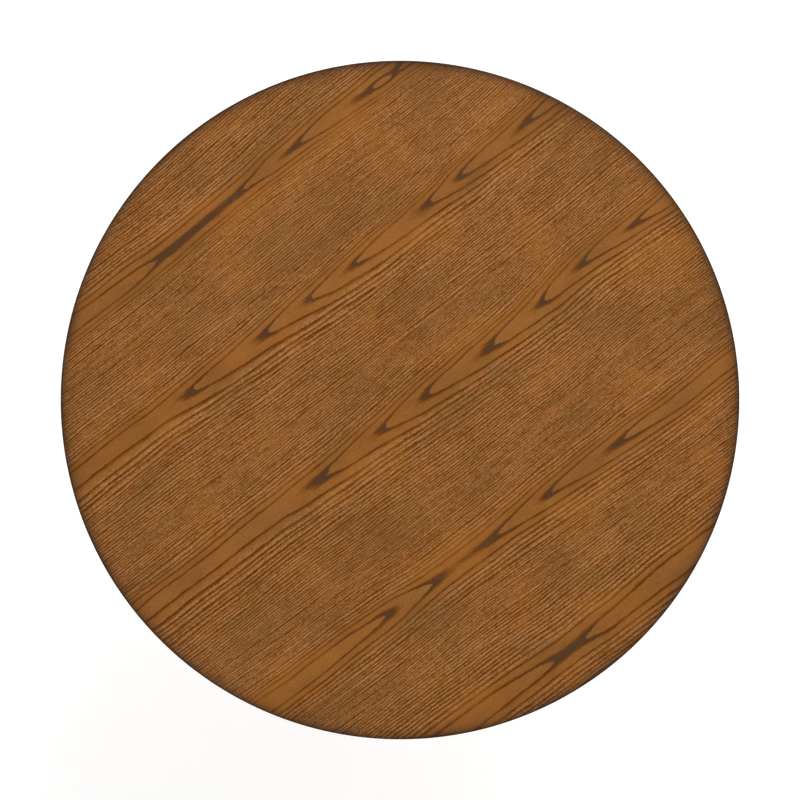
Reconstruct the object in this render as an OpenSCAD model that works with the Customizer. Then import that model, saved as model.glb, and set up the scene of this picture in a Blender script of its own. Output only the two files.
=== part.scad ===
// Round pedestal table: a veneered round top with a curved apron, carried by a
// cross-lapped head, a turned column and four swept legs on screw-in glides.
// Millimetres, +Z up. The origin is on the floor, under the middle of the top.

/* [Top] */
// Diameter of the round top
top_d = 1067; // [850:1:1300]
// Height of the top's upper face above the floor
table_h = 762; // [620:1:940]
// Thickness of the top, veneers included
top_t = 30; // [24:1:40]
// Thickness of the face and backing veneers
veneer_t = 0.6; // [0.4:0.1:1.5]
// Direction of the grain, turned from +X towards +Y
grain_a = 37; // [0:1:90]
// Distance of the first leaf's seam from the middle, across the grain
first_seam = 314; // [250:1:380]
// Width of the second leaf of face veneer
leaf_2_w = 240; // [190:1:290]
// Width of the third leaf of face veneer
leaf_3_w = 224; // [180:1:270]
// Width of the fourth leaf of face veneer
leaf_4_w = 213; // [170:1:260]
// Width of the solid edge lipping round the core
lipping_w = 18; // [12:1:30]
// Radius of the eased upper and lower edges
edge_r = 2; // [1.5:0.5:6]

/* [Apron] */
// Setback of the apron from the edge of the top
apron_inset = 70; // [45:1:110]
// Depth of the apron below the top
apron_h = 70; // [55:1:95]
// Thickness of the apron
apron_t = 18; // [15:1:24]
// Radius of the bead along the apron's lower edge
bead_r = 6; // [4:0.5:8]
// Height of the glue blocks behind the apron's joints
block_h = 40; // [32:1:50]
// Thickness of the glue blocks
block_t = 24; // [18:1:32]

/* [Head] */
// Width of the two crossed beams
beam_w = 60; // [48:1:80]
// Depth of the two crossed beams
beam_h = 45; // [36:1:60]
// Gap between a beam's end and the apron
beam_gap = 93; // [60:1:140]
// Diameter of the turned capital under the beams
capital_d = 204; // [165:1:260]
// Thickness of the capital
capital_t = 20; // [16:1:30]
// Diameter of the tenon on top of the column
tenon_d = 60; // [45:1:76]

/* [Column] */
// Width across the flats of the eight-sided block that the legs join
block_af = 140; // [115:1:175]
// Thickness of the block's walls round its hollow
block_wall = 30; // [24:1:38]
// Height of the block's underside above the floor
base_z = 105; // [85:1:130]
// Largest diameter of the turned vase
belly_d = 160; // [130:1:195]
// Smallest diameter of the column, at its neck
neck_d = 92; // [76:1:112]
// Diameter of the narrow waists beside the turned beads
waist_d = 108; // [96:1:120]

/* [Legs] */
// Reach of the toes from the column's axis
foot_reach = 382; // [315:1:460]
// Thickness of a leg
leg_w = 54; // [44:1:66]
// Height of a leg where it meets the block
leg_h = 185; // [150:1:230]
// Height of the foot's underside above the floor
foot_z = 14; // [12:1:20]
// Thickness of the steel plate under the legs
plate_t = 3; // [2:0.5:5]

/* [Hardware] */
// Diameter of the tie rod through the column
rod_d = 10; // [8:1:12]
// Diameter of the bolts that hold the legs
bolt_d = 8; // [6:0.5:10]
// Diameter of the leg dowels
dowel_d = 10; // [8:1:12]
// Diameter of the glides' threaded stems
stem_d = 8; // [6:0.5:10]
// Diameter of the glides' pads
pad_d = 34; // [28:1:42]
// Gap left round every screw, bolt, dowel and tenon
fit = 0.1; // [0.05:0.01:0.2]

/* [Hidden] */
$fn = 96;
past = 1;                             // how far a cutting shape runs past the face it cuts
into_top = 15;                        // how far the screws from below enter the top

// Top
top_r = top_d / 2;
under_z = table_h - top_t;            // underside of the top
face_r = top_r - edge_r;              // where the flat faces meet the eased edge
core_r = top_r - lipping_w;
lipping_count = 8;
glue_line = 0.1;                      // gap between two lengths of lipping

// Apron
apron_out_r = top_r - apron_inset;
apron_in_r = apron_out_r - apron_t;
block_w = 64;
block_screw_side = 14;                // screws stand this far either side of a block's middle
end_screw_side = 22;
slot_h = 3;                           // groove for the clips, in the apron's inner face
slot_depth = 8;
slot_z = under_z - 15.5;
clip_t = 1.5;
clip_w = 20;
clip_reach = 27;                      // from the apron's inner face to the clip's inner end
clip_stand = 8;                       // from the apron's inner face to the clip's upright
clip_screw_in = 17;
clips_per_apron = 2;

// Head
beam_z = under_z - beam_h;
beam_l = 2 * (apron_in_r - beam_gap);
beam_bevel = [80, 20];                // length and height of the bevel under a beam's end
beam_screw_backs = [40, 200];         // from the beam's end
screw_grip = 25;                      // thickness of beam held by a beam screw
capital_z = beam_z - capital_t;
capital_screw_in = 17;                // from the capital's edge
capital_step = 4;
rod_room = 2;                         // extra width of the holes that the tie rod passes
pocket_h = 1.4 * rod_d;               // pocket for the rod's upper nut

// Column
shoulder_z = capital_z;
block_top = 10;                       // the block stands this far above the legs
turning_z = base_z + leg_h + block_top;
hollow_af = block_af - 2 * block_wall;
hollow_z = turning_z - 15;            // ceiling of the block's hollow
joint_r = block_af / 2;               // flat faces that the legs meet
collar_r = joint_r - 4;
waist_r = waist_d / 2;

// Legs
leg_top_z = base_z + leg_h;
bolt_margin = 45;                     // from the leg's lower and upper ends
bolt_heights = [bolt_margin, leg_h - bolt_margin];
bolt_in = 45;                         // bolt length inside the leg
bolt_out = 12;                        // bolt length inside the hollow
bolt_washer_t = 2;
dowel_apart = 28;
dowel_in = [18, 24];                  // depth in the block and in the leg
plate_arm = 78;                       // reach of the plate's arms past the block
plate_arm_w = 30;
plate_hole_d = 40;
plate_screws_out = [25, 62];          // from the block's face

// Glides
glide_r = foot_reach - 37;
insert_d = stem_d + 4;
insert_l = 20;
insert_flange = [insert_d + 8, 1.5];
stem_top = foot_z + 27;
swivel_gap = 0.3;                     // running gap between a stem and its pad
pad_h = foot_z - 5;
pad_rim = 2;
stem_foot_d = stem_d + 4;             // the stem's foot, held inside the pad
stem_foot_z = pad_h / 2 - 1;
stem_foot_h = pad_h / 3;
boss_d = stem_foot_d + 8;

// Screws: shank diameter, length, head diameter
beam_screw = [5, screw_grip + into_top, 9.5];
block_screw = [4.5, block_h + into_top, 8.5];
end_screw = [4, block_t + apron_t - 6, 7.5];
clip_screw = [4, 16, 7.5];
capital_screw = [5, capital_t + 16, 9.5];
plate_screw = [4, plate_t + 27, 8];

wood = [0.54, 0.34, 0.17];
dark_wood = [0.24, 0.14, 0.08];
board = [0.72, 0.58, 0.40];
pale_wood = [0.78, 0.62, 0.42];
steel = [0.70, 0.70, 0.72];
nylon = [0.12, 0.11, 0.10];

// ---------- curves and repeated shapes ----------

function bezier(a, b, c, d, n) =
    [for (i = [1:n]) let (t = i / n, s = 1 - t)
        s * s * s * a + 3 * s * s * t * b + 3 * s * t * t * c + t * t * t * d];

function arc(centre, r, from, to, n) =
    [for (i = [0:n]) let (a = from + (to - from) * i / n) centre + r * [cos(a), sin(a)]];

module ring_of(count, first = 0) {
    for (i = [0:count - 1]) rotate([0, 0, first + i * 360 / count]) children();
}

// Turns a shape that points up so that it points away from the column's axis
module outward(r, side, z) {
    translate([r, side, z]) rotate([0, 90, 0]) children();
}

// A countersunk wood screw pointing up, its head's flat face at the origin. grow widens it into its hole.
module screw(size, grow = 0) {
    d = size[0] + 2 * grow;
    head_h = (size[2] - size[0]) / 2;
    tip_h = size[0];
    overlap = 0.01;
    cylinder(d1 = size[2] + 2 * grow, d2 = d, h = head_h);
    translate([0, 0, head_h - overlap]) cylinder(d = d, h = size[1] - tip_h - head_h + 2 * overlap);
    translate([0, 0, size[1] - tip_h]) cylinder(d1 = d, d2 = d / 5, h = tip_h + grow);
}

// The same screw with a cross cut in its head for the driver
module driven_screw(size) {
    slot_l = size[2] * 0.66;
    slot_w = size[0] / 4;
    difference() {
        screw(size);
        for (a = [0, 90]) rotate([0, 0, a])
            translate([-slot_l / 2, -slot_w / 2, -past]) cube([slot_l, slot_w, size[0] / 2 + past]);
    }
}

module hex_nut(across, h, bore_d) {
    difference() {
        cylinder(d = across / cos(30), h = h, $fn = 6);
        translate([0, 0, -past]) cylinder(d = bore_d, h = h + 2 * past);
    }
}

module washer(d, t, bore_d) {
    difference() {
        cylinder(d = d, h = t);
        translate([0, 0, -past]) cylinder(d = bore_d, h = t + 2 * past);
    }
}

module octagon(across, h) {
    rotate([0, 0, 22.5]) cylinder(d = across / cos(22.5), h = h, $fn = 8);
}

// ---------- top ----------

// Leaf 1 lies furthest across the grain, leaf 5 opposite to it. The outer two are trimmed round.
module veneer_leaf(number) {
    seams = [top_r, first_seam, first_seam - leaf_2_w, first_seam - leaf_2_w - leaf_3_w,
             first_seam - leaf_2_w - leaf_3_w - leaf_4_w, -top_r];
    color(wood) intersection() {
        translate([0, 0, table_h - veneer_t]) cylinder(r = face_r, h = veneer_t);
        rotate([0, 0, grain_a]) translate([-top_r, seams[number], table_h - veneer_t - past])
            cube([top_d, seams[number - 1] - seams[number], veneer_t + 2 * past]);
    }
}

module top_core() {
    color(board) difference() {
        translate([0, 0, under_z + veneer_t]) cylinder(r = core_r, h = top_t - 2 * veneer_t);
        screws_into_top(fit);
    }
}

module backing_veneer() {
    color(wood) difference() {
        translate([0, 0, under_z]) cylinder(r = face_r, h = veneer_t);
        screws_into_top(fit);
    }
}

// Half section of the lipping: veneered above and below, with eased edges standing past the veneers
module lipping_section() {
    seam = 0.01;
    translate([core_r, under_z + veneer_t]) square([face_r - core_r, top_t - 2 * veneer_t]);
    translate([face_r - seam, under_z + edge_r]) square([edge_r + seam, top_t - 2 * edge_r]);
    translate([face_r, under_z]) intersection() {
        for (z = [edge_r, top_t - edge_r]) translate([0, z]) circle(r = edge_r);
        square([edge_r, top_t]);
    }
}

// Lengths of solid wood bent round the core, butted end to end
module edge_lipping() {
    color(dark_wood) ring_of(lipping_count)
        rotate_extrude(angle = 360 / lipping_count - glue_line / core_r * 180 / PI) lipping_section();
}

// Every screw that enters the top from below, widened by grow
module screws_into_top(grow) {
    at_beam_screws() screw(beam_screw, grow);
    at_block_screws() screw(block_screw, grow);
    at_clip_screws() screw(clip_screw, grow);
}

// ---------- apron ----------

// A quarter of the apron: a curved board with a bead at its foot and a groove for the clips inside
module apron(number) {
    turn = (number - 1) * 90;
    color(wood) difference() {
        rotate([0, 0, turn - 45]) rotate_extrude(angle = 90) difference() {
            union() {
                translate([apron_in_r, under_z - apron_h]) square([apron_t, apron_h]);
                translate([apron_out_r, under_z - apron_h + bead_r]) circle(r = bead_r);
            }
            translate([apron_in_r - past, slot_z]) square([slot_depth + past, slot_h]);
        }
        at_end_screws() screw(end_screw, fit);
    }
}

// Blocks glued and screwed behind the apron's joints
module apron_blocks() {
    color(pale_wood) difference() {
        ring_of(4, 45) intersection() {
            translate([apron_in_r - block_t, -block_w / 2, under_z - block_h])
                cube([block_t + apron_t, block_w, block_h]);
            translate([0, 0, under_z - block_h]) cylinder(r = apron_in_r, h = block_h);
        }
        at_block_screws() screw(block_screw, fit);
        at_end_screws() screw(end_screw, fit);
    }
}

module at_block_screws() {
    ring_of(4, 45) for (side = [-1, 1])
        translate([apron_in_r - block_t / 2 - 1, side * block_screw_side, under_z - block_h]) children();
}

module at_end_screws() {
    ring_of(4, 45) for (side = [-1, 1])
        outward(apron_in_r - block_t, side * end_screw_side, under_z - block_h * 0.65) children();
}

module at_clips() {
    for (quarter = [0:3], k = [1:clips_per_apron])
        rotate([0, 0, quarter * 90 - 45 + 90 * k / (clips_per_apron + 1)]) children();
}

module at_clip_screws() {
    at_clips() translate([apron_in_r - clip_screw_in, 0, under_z - clip_t]) children();
}

// Z-shaped steel clips: the tongue sits in the apron's groove, the flange is screwed to the top
module apron_clips() {
    tongue_z = slot_z + (slot_h - clip_t) / 2;
    tongue_l = clip_stand + slot_depth - 3;
    color(steel) difference() {
        at_clips() translate([apron_in_r - clip_stand, -clip_w / 2, 0]) {
            translate([0, 0, tongue_z]) cube([tongue_l, clip_w, clip_t]);
            translate([0, 0, tongue_z]) cube([clip_t, clip_w, under_z - tongue_z]);
            translate([clip_stand - clip_reach, 0, under_z - clip_t])
                cube([clip_reach - clip_stand + clip_t, clip_w, clip_t]);
        }
        at_clip_screws() screw(clip_screw, fit);
    }
}

// ---------- head ----------

module at_beam_screws() {
    ring_of(4) for (back = beam_screw_backs)
        translate([beam_l / 2 - back, 0, under_z - screw_grip]) children();
}

module at_capital_screws() {
    ring_of(4) translate([capital_d / 2 - capital_screw_in, 0, capital_z]) children();
}

// One beam along X, bevelled under its ends, with its screw holes and the hole for the tie rod
module beam_blank() {
    difference() {
        translate([-beam_l / 2, -beam_w / 2, beam_z]) cube([beam_l, beam_w, beam_h]);
        ring_of(2) translate([beam_l / 2, beam_w, beam_z]) rotate([90, 0, 0]) linear_extrude(2 * beam_w)
            polygon([[-beam_bevel[0], 0], [-beam_bevel[0], -past], [past, -past], [past, beam_bevel[1]],
                     [0, beam_bevel[1]]]);
        at_beam_screws() screw(beam_screw, fit);
        at_beam_screws() translate([0, 0, screw_grip - beam_h - past])
            cylinder(d = beam_screw[2] + 1.5, h = beam_h - screw_grip + past);
        at_capital_screws() screw(capital_screw, fit);
        translate([0, 0, beam_z - past]) cylinder(d = rod_d + rod_room, h = beam_h + 2 * past);
    }
}

// The lower beam runs along X and is notched from above
module lower_beam() {
    color(pale_wood) difference() {
        beam_blank();
        translate([-beam_w / 2, -beam_w, beam_z + beam_h / 2]) cube([beam_w, 2 * beam_w, beam_h]);
    }
}

// The upper beam runs along Y and is notched from below
module upper_beam() {
    color(pale_wood) rotate([0, 0, 90]) difference() {
        beam_blank();
        translate([-beam_w / 2, -beam_w, beam_z - past]) cube([beam_w, 2 * beam_w, beam_h / 2 + past]);
        translate([0, 0, under_z - pocket_h]) cylinder(d = 3 * rod_d, h = pocket_h + past);
    }
}

// A turned disc with a round edge and a step, bored for the column's tenon
module capital() {
    r = capital_d / 2;
    round_r = (capital_t - capital_step) / 2;
    color(wood) difference() {
        rotate_extrude() union() {
            translate([0, capital_z]) square([r - round_r, capital_t - capital_step]);
            translate([r - round_r, capital_z + round_r]) circle(r = round_r);
            translate([0, beam_z - capital_step]) square([r - capital_step, capital_step]);
        }
        translate([0, 0, capital_z - past]) cylinder(d = tenon_d + 2 * fit, h = capital_t + 2 * past);
        at_capital_screws() screw(capital_screw, fit);
    }
}

// ---------- column ----------

// Half outline of the turned part: base cove, bead, vase, neck, bead and shoulder, from the block up.
// The vase's curves take their lengths from the height left between the two beads.
function turned_outline() =
    let (b = turning_z,
         t = shoulder_z,
         bead = 10,
         low_bead_z = b + 20,
         high_bead_z = t - 27,
         foot_z0 = low_bead_z + 2 * bead + 4,
         neck_z = high_bead_z - 35,
         belly_z = foot_z0 + 0.36 * (neck_z - foot_z0),
         low = belly_z - foot_z0,
         high = neck_z - belly_z,
         belly = belly_d / 2,
         neck = neck_d / 2)
    concat(
        [[0, b - 20], [collar_r - 8, b - 20], [collar_r - 8, b], [collar_r, b], [collar_r, b + 8]],
        bezier([collar_r, b + 8], [collar_r - 6, b + 9], [waist_r + 2, b + 13], [waist_r + 1, b + 20], 6),
        arc([waist_r, low_bead_z + bead], bead, -84, 84, 12),
        [[waist_r, foot_z0 - 4], [waist_r - 4, foot_z0 - 4], [waist_r - 4, foot_z0]],
        bezier([waist_r - 4, foot_z0], [waist_r - 4, foot_z0 + 0.36 * low],
               [belly, belly_z - 0.52 * low], [belly, belly_z], 12),
        bezier([belly, belly_z], [belly, belly_z + 0.46 * high],
               [neck, neck_z - 0.43 * high], [neck, neck_z], 14),
        bezier([neck, neck_z], [neck, neck_z + 18],
               [waist_r - 4, neck_z + 28], [waist_r + 2, neck_z + 31], 6),
        [[waist_r + 2, high_bead_z], [waist_r - 1, high_bead_z]],
        arc([waist_r - 1, high_bead_z + bead], bead, -84, 84, 12),
        [[waist_r + 4, t - 7], [waist_r + 4, t], [0, t]]);

module column() {
    color(wood) difference() {
        union() {
            translate([0, 0, base_z]) octagon(block_af, turning_z - base_z);
            rotate_extrude() polygon(turned_outline());
            translate([0, 0, shoulder_z - past]) cylinder(d = tenon_d, h = capital_t + past - 0.5);
        }
        translate([0, 0, base_z - past]) octagon(hollow_af, hollow_z - base_z + past);
        translate([0, 0, hollow_z - past]) cylinder(d = rod_d + rod_room, h = beam_z - hollow_z + 2 * past);
        at_leg_bolts() translate([0, 0, -past]) cylinder(d = bolt_d + 2 * fit, h = block_wall + 2 * past);
        at_leg_dowels() translate([0, 0, -fit]) cylinder(d = dowel_d + 2 * fit, h = dowel_in[0] + past);
    }
}

module tie_rod() {
    bottom_z = hollow_z - 2 * rod_d;
    color(steel) translate([0, 0, bottom_z]) cylinder(d = rod_d, h = under_z - 2 - bottom_z);
}

module tie_rod_washers() {
    color(steel) {
        translate([0, 0, hollow_z - 4]) washer(4 * rod_d, 4, rod_d + 2 * fit);
        translate([0, 0, under_z - pocket_h]) washer(3 * rod_d - 2, 2.5, rod_d + 2 * fit);
    }
}

module tie_rod_nuts() {
    across = 1.7 * rod_d;
    nut_h = 0.8 * rod_d;
    color(steel) {
        translate([0, 0, hollow_z - 4 - nut_h]) hex_nut(across, nut_h, rod_d + 2 * fit);
        translate([0, 0, under_z - pocket_h + 2.5]) hex_nut(across, nut_h, rod_d + 2 * fit);
    }
}

// ---------- legs ----------

// Side outline of a leg: distance from the column's axis, then height
function leg_outline() =
    let (j = joint_r,
         f = foot_reach,
         z = foot_z)
    concat(
        [[j, base_z], [j + 100, base_z]],
        bezier([j + 100, base_z], [j + 160, base_z], [f - 92, base_z - 35], [f - 66, z + 10], 12),
        bezier([f - 66, z + 10], [f - 64, z + 5], [f - 62, z], [f - 58, z], 4),
        [[f - 16, z]],
        bezier([f - 16, z], [f + 2, z], [f + 5, z + 26], [f - 11, z + 37], 8),
        bezier([f - 11, z + 37], [f - 37, z + 58], [f - 77, z + 76], [f - 120, z + 112], 10),
        bezier([f - 120, z + 112], [f - 167, z + 151], [j + 118, leg_top_z], [j, leg_top_z], 14));

module leg(number) {
    color(wood) rotate([0, 0, (number - 1) * 90]) difference() {
        translate([0, leg_w / 2, 0]) rotate([90, 0, 0]) linear_extrude(leg_w) polygon(leg_outline());
        for (h = bolt_heights)
            outward(joint_r - past, 0, base_z + h) cylinder(d = bolt_d + 2 * fit, h = bolt_in + 2 * past);
        for (side = [-1, 1])
            outward(joint_r - past, side * dowel_apart / 2, base_z + leg_h / 2)
                cylinder(d = dowel_d + 2 * fit, h = dowel_in[1] + past + fit);
        translate([glide_r, 0, foot_z - past]) {
            cylinder(d = insert_flange[0] + 2 * fit, h = insert_flange[1] + past);
            cylinder(d = insert_d + 2 * fit, h = stem_top - foot_z + 2 * past);
        }
        for (out = plate_screws_out) translate([joint_r + out, 0, base_z - plate_t]) screw(plate_screw, fit);
    }
}

// Places a shape that points outward at each bolt, its origin at the hollow's wall
module at_leg_bolts() {
    ring_of(4) for (h = bolt_heights) outward(hollow_af / 2, 0, base_z + h) children();
}

// Places a shape that points outward at each dowel, its origin at the dowel's inner end
module at_leg_dowels() {
    ring_of(4) for (side = [-1, 1])
        outward(joint_r - dowel_in[0], side * dowel_apart / 2, base_z + leg_h / 2) children();
}

module leg_dowels() {
    color(pale_wood) at_leg_dowels() cylinder(d = dowel_d, h = dowel_in[0] + dowel_in[1]);
}

module hanger_bolts() {
    color(steel) at_leg_bolts() translate([0, 0, -bolt_out])
        cylinder(d = bolt_d, h = bolt_out + block_wall + bolt_in);
}

module bolt_washers() {
    color(steel) at_leg_bolts() translate([0, 0, -bolt_washer_t])
        washer(2.5 * bolt_d, bolt_washer_t, bolt_d + 2 * fit);
}

module bolt_nuts() {
    nut_h = 0.8 * bolt_d;
    color(steel) at_leg_bolts() translate([0, 0, -bolt_washer_t - nut_h])
        hex_nut(1.625 * bolt_d, nut_h, bolt_d + 2 * fit);
}

// A four-armed steel plate that ties the legs to the block from below
module base_plate() {
    arm_l = joint_r + plate_arm - plate_arm_w / 2;
    color(steel) translate([0, 0, base_z - plate_t]) difference() {
        union() {
            cylinder(d = block_af - 10, h = plate_t);
            ring_of(4) {
                translate([0, -plate_arm_w / 2, 0]) cube([arm_l, plate_arm_w, plate_t]);
                translate([arm_l, 0, 0]) cylinder(d = plate_arm_w, h = plate_t);
            }
        }
        translate([0, 0, -past]) cylinder(d = plate_hole_d, h = plate_t + 2 * past);
        translate([0, 0, plate_t - base_z]) at_plate_screws() screw(plate_screw, fit);
    }
}

module at_plate_screws() {
    ring_of(4) for (out = plate_screws_out) translate([joint_r + out, 0, base_z - plate_t]) children();
}

// ---------- glides ----------

module at_glide(number) {
    rotate([0, 0, (number - 1) * 90]) translate([glide_r, 0, 0]) children();
}

// Flanged steel inserts in the feet, for the glides' stems
module glide_inserts() {
    color(steel) for (number = [1:4]) at_glide(number) difference() {
        translate([0, 0, foot_z]) {
            cylinder(d = insert_flange[0], h = insert_flange[1]);
            cylinder(d = insert_d, h = insert_l);
        }
        translate([0, 0, foot_z - past]) cylinder(d = stem_d + 2 * fit, h = insert_l + 2 * past);
    }
}

// A moulded pad: a wide base with a rounded rim and a boss that holds the stem's foot
module glide_pad(number) {
    color(nylon) at_glide(number) difference() {
        union() {
            rotate_extrude() {
                square([pad_d / 2 - pad_rim, 2 * pad_rim]);
                square([pad_d / 2, pad_rim]);
                intersection() {
                    translate([pad_d / 2 - pad_rim, pad_rim]) circle(r = pad_rim);
                    square([pad_d / 2, 2 * pad_rim]);
                }
            }
            cylinder(d1 = boss_d + 4, d2 = boss_d, h = pad_h);
        }
        translate([0, 0, stem_foot_z - swivel_gap])
            cylinder(d = stem_foot_d + 2 * swivel_gap, h = stem_foot_h + 2 * swivel_gap);
        translate([0, 0, stem_foot_z]) cylinder(d = stem_d + 2 * swivel_gap, h = pad_h);
    }
}

// The threaded stem: a foot that turns in the pad, a hexagon for the wrench, and the shank
module glide_stem(number) {
    hex_z = pad_h + swivel_gap;
    color(steel) at_glide(number) {
        translate([0, 0, stem_foot_z]) cylinder(d = stem_foot_d, h = stem_foot_h);
        translate([0, 0, stem_foot_z]) cylinder(d = stem_d, h = stem_top - stem_foot_z);
        translate([0, 0, hex_z])
            cylinder(d = 1.625 * stem_d / cos(30), h = foot_z - swivel_gap - hex_z, $fn = 6);
    }
}

// ---------- what each node draws ----------

for (n = [1:5]) veneer_leaf(n);
top_core();
backing_veneer();
edge_lipping();
for (n = [1:4]) apron(n);
apron_blocks();
color(steel) at_block_screws() driven_screw(block_screw);  // apron_block_screws
color(steel) at_end_screws() driven_screw(end_screw);  // apron_end_screws
apron_clips();
color(steel) at_clip_screws() driven_screw(clip_screw);  // clip_screws
lower_beam();
upper_beam();
color(steel) at_beam_screws() driven_screw(beam_screw);  // beam_screws
capital();
color(steel) at_capital_screws() driven_screw(capital_screw);  // capital_screws
column();
tie_rod();
tie_rod_washers();
tie_rod_nuts();
for (n = [1:4]) leg(n);
leg_dowels();
hanger_bolts();
bolt_washers();
bolt_nuts();
base_plate();
color(steel) at_plate_screws() driven_screw(plate_screw);  // base_plate_screws
glide_inserts();
for (n = [1:4]) glide_pad(n);
for (n = [1:4]) glide_stem(n);
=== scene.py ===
"""Round pedestal table: oak veneer top, turned column, swept legs and steel fittings, over the frame."""

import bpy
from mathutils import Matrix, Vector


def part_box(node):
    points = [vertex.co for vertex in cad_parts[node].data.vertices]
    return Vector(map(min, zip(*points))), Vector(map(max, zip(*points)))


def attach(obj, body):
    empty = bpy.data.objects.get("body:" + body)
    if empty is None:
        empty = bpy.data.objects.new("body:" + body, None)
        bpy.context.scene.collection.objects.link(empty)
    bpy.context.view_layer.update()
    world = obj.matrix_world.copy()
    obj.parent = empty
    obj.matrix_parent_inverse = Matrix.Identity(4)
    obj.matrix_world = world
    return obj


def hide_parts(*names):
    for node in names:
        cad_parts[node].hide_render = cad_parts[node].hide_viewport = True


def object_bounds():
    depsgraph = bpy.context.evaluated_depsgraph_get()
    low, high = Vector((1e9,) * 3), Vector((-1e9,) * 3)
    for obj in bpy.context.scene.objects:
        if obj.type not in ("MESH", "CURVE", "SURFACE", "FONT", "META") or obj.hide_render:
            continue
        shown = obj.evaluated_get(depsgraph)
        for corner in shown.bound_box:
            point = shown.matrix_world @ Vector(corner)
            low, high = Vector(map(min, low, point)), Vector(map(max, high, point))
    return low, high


bl_info = {
    "name": "Round pedestal table",
    "version": (1, 0, 0),
    "blender": (4, 5, 0),
    "location": "3D View > Sidebar > Round table",
    "description": "Builds a round oak pedestal table and its studio over the table's frame",
    "category": "Object",
}

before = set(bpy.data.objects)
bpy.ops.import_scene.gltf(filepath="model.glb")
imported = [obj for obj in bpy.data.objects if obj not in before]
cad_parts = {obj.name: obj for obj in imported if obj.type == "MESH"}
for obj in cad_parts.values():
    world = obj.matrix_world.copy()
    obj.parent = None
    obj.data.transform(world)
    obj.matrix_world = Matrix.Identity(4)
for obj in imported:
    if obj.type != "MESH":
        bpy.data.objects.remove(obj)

import math

import bmesh
import bpy
from bpy.props import FloatProperty, FloatVectorProperty, PointerProperty
from bpy.types import Operator, Panel, PropertyGroup
from mathutils import Vector

FRAME_BOX = [list(corner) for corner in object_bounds()]
MM = 0.001
FULL_TURN = 2 * math.pi
PIN = 0.02 * MM     # radius left at the middle of a turned end
PLAIN = (0.0, 0.0)  # the marks of a point that is neither a worn edge nor a recess
AXIS = (0.0, 0.0)   # the table's own upright axis


# ---------- what the frame says ----------

def low(node):
    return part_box(node)[0]


def high(node):
    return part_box(node)[1]


TOP_Z = high("edge_lipping")[2]
UNDER_Z = low("edge_lipping")[2]
TOP_R = high("edge_lipping")[0]
CORE_R = high("top_core")[0]
VENEER_T = high("veneer_leaf_3")[2] - low("veneer_leaf_3")[2]
FACE_R = high("backing_veneer")[0]
APRON_Z = low("apron_1")[2]
APRON_OUT_R = high("apron_1")[0]
CAPITAL_R = high("capital")[0]
CAPITAL_Z = low("capital")[2]
BEAM_Z = high("capital")[2]
BLOCK_R = low("leg_1")[0]
BASE_Z = high("base_plate")[2]
LEG_TOP_Z = high("leg_1")[2]
FOOT_Z = low("leg_1")[2]
GLIDE_R = (low("glide_pad_1")[0] + high("glide_pad_1")[0]) / 2
QUARTERS = (1, 2, 3, 4)


# ---------- sizes and colours that can be changed ----------

def tone(red, green, blue):
    """A colour given as it looks on a screen, 0 to 255, turned into the light that a shader works in."""
    def light(value):
        value /= 255
        return value / 12.92 if value <= 0.04045 else ((value + 0.055) / 1.055) ** 2.4
    return (light(red), light(green), light(blue))


def length(name, default, description):
    return FloatProperty(name=name, default=default, description=description, unit="LENGTH", min=0.0)


def share(name, default, description):
    return FloatProperty(name=name, default=default, description=description, min=0.0, max=1.0)


def amount(name, default, description):
    return FloatProperty(name=name, default=default, description=description, min=0.0)


def colour(name, default, description):
    return FloatVectorProperty(name=name, default=default, description=description, subtype="COLOR",
                               size=3, min=0.0, max=1.0)


class OakFinish(PropertyGroup):
    """The stain, the glazed tips, the darkened rim, the painted shade in recesses and the lacquer on the
    oak.
    """

    pale: colour("Pale wood", tone(177, 127, 80), "The lightest late wood between the ring lines")
    light: colour("Light wood", tone(154, 100, 49), "Late wood under the stain")
    middle: colour("Middle wood", tone(136, 81, 26), "The stain's own colour")
    dark: colour("Ring lines", tone(114, 59, 0), "Open early wood, where the stain gathers")
    deep: colour("Deep lines", tone(90, 42, 0), "The darkest open pores")
    tip: colour("Arch tips", tone(82, 62, 43), "Glaze held in the wide early wood at the arches' tips")
    # This colour darkens the face towards its rim, and is painted shade in the recesses of the solid
    # pieces.
    rim_dark_and_recess_shade: colour("Darkened rim", tone(48, 35, 27), "Shade rubbed along edges and left in recesses")
    worn: colour("Worn edge", tone(176, 122, 68), "Stain rubbed thin on the arrises")
    edge: colour("Edge", tone(26, 15, 8), "The dark finish of the lipping")
    pore_depth: length("Pore depth", 0.06 * MM, "Depth of the open pores in the lacquer")
    gloss: share("Lacquer roughness", 0.29, "Roughness of the satin lacquer")


class TableSizes(PropertyGroup):
    """Small sizes that the frame leaves open."""

    grain_angle: FloatProperty(name="Grain angle", default=math.radians(37), subtype="ANGLE",
                               description="Direction of the face veneer's grain, from +X towards +Y")
    leg_arris: length("Leg arris", 7 * MM, "Radius of the legs' long edges")
    block_arris: length("Block arris", 2 * MM, "Radius of the upright edges of the column's block")
    apron_arris: length("Apron arris", 1.5 * MM, "Radius of the apron's edges")
    quirk: length("Bead quirk", 1.6 * MM, "Depth of the groove beside the apron's bead")
    glide_pitch: length("Glide pitch", 1.25 * MM, "Rise of a glide's thread in one turn")
    rod_pitch: length("Rod pitch", 1.5 * MM, "Rise of the tie rod's thread in one turn")


class StudioSet(PropertyGroup):
    """The floor, the lights and the camera."""

    floor: colour("Floor", tone(236, 236, 236), "The plain floor")
    key: amount("Key light", 93.0, "Power of the larger soft light")
    fill: amount("Fill lights", 24.5, "Power of each other soft light")
    sky: amount("Surround", 0.10, "Brightness of the pale surround")
    glow: amount("Floor glow", 0.48, "Light that the floor gives off itself")
    lens: amount("Lens", 100.0, "The camera's focal length, in mm")
    span: share("Filled width", 0.8491, "Share of the picture's width that the top fills")


# ---------- shader nodes ----------

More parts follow.
